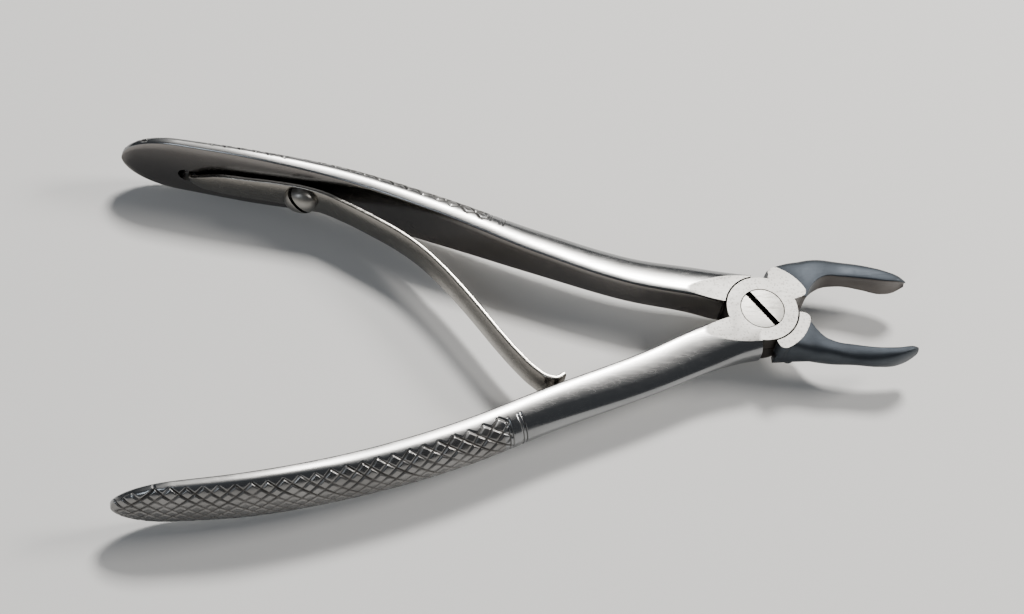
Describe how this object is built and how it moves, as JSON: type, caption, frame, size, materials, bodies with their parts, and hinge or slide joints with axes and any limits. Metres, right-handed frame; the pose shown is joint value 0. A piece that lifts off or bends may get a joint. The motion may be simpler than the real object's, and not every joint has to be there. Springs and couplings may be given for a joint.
{
  "type": "paediatric dental extracting forceps",
  "caption": "Small tooth-extracting forceps with narrow spoon beaks, a screw lap joint, cross-cut grips and a leaf spring that reopens the jaws.",
  "frame": {"origin": "on the pivot axis, at the back face of the joint", "axes": "+X from the handles to the beaks, halfway between the handles; +Z along the pivot axis, out of the front face with the slotted screw head; +Y towards the handle that carries the spring"},
  "size_m": [0.1251, 0.0637, 0.0128],
  "materials": {
    "forged_steel": "satin-ground joint flats and beaks, polished handles",
    "spring_steel": "polished strip",
    "screw_steel": "fine ground"
  },
  "bodies": {
    "spring_half": {"spring_handle_half": "forged_steel", "pivot_screw": "screw_steel", "leaf_spring": "spring_steel", "spring_screw": "screw_steel"},
    "plain_half": {"plain_handle_half": "forged_steel"}
  },
  "joints": [
    {"name": "jaw_pivot", "type": "hinge", "parent": "spring_half", "child": "plain_half", "pos_m": [0, 0, 0.003], "axis": [0, 0, -1], "range_deg": [-10, 22], "stiffness_Nm_per_rad": 0.6, "deforming": ["leaf_spring"]}
  ]
}
